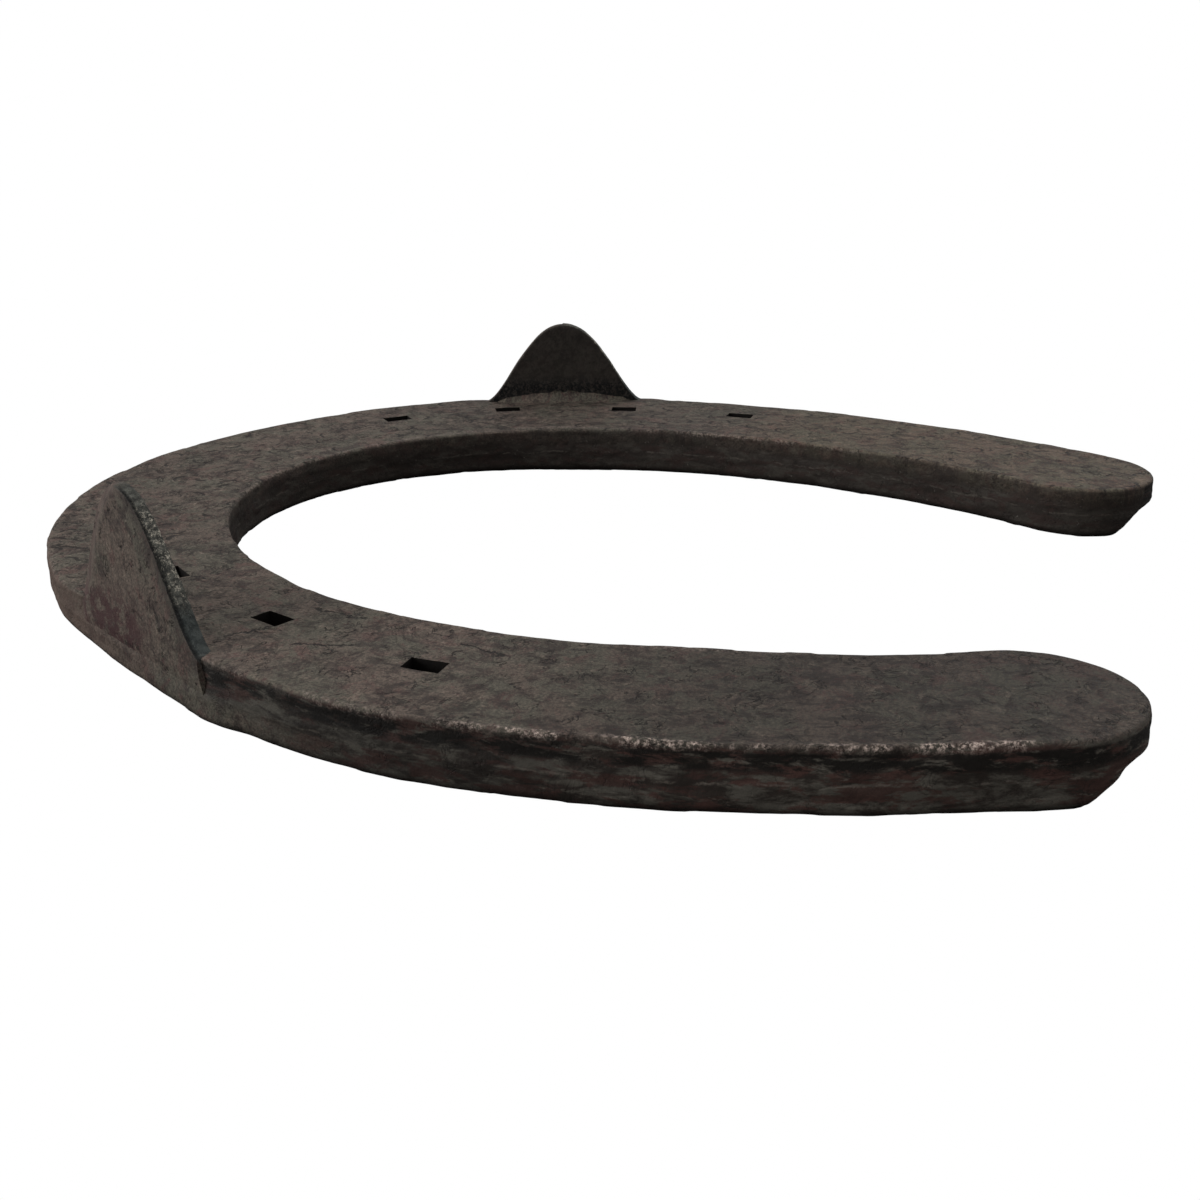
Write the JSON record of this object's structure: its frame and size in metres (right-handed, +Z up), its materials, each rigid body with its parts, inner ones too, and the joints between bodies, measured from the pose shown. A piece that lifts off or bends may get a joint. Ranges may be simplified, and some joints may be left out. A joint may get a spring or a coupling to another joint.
{
  "type": "horseshoe",
  "caption": "Forged steel riding horseshoe with a side clip on each branch, rectangular nail holes, rounded heels and a worn toe.",
  "frame": {"origin": "on the ground face's plane, midway between toe and heel ends on the toe-to-heel centre line", "axes": "+Z up out of the hoof face, -Y to the toe, +Y to the heels, +X to the horse's left branch"},
  "size_m": [0.1552, 0.1626, 0.0243],
  "materials": {
    "bar_steel": "dark brown forge scale, matt, worn bright along the edges",
    "clip_steel": "dark forge scale, matt",
    "weld_steel": "rough dark weld scale"
  },
  "bodies": {
    "root": {"shoe_bar": "bar_steel", "left_side_clip": "clip_steel", "right_side_clip": "clip_steel", "left_clip_weld": "weld_steel", "right_clip_weld": "weld_steel"}
  },
  "joints": []
}
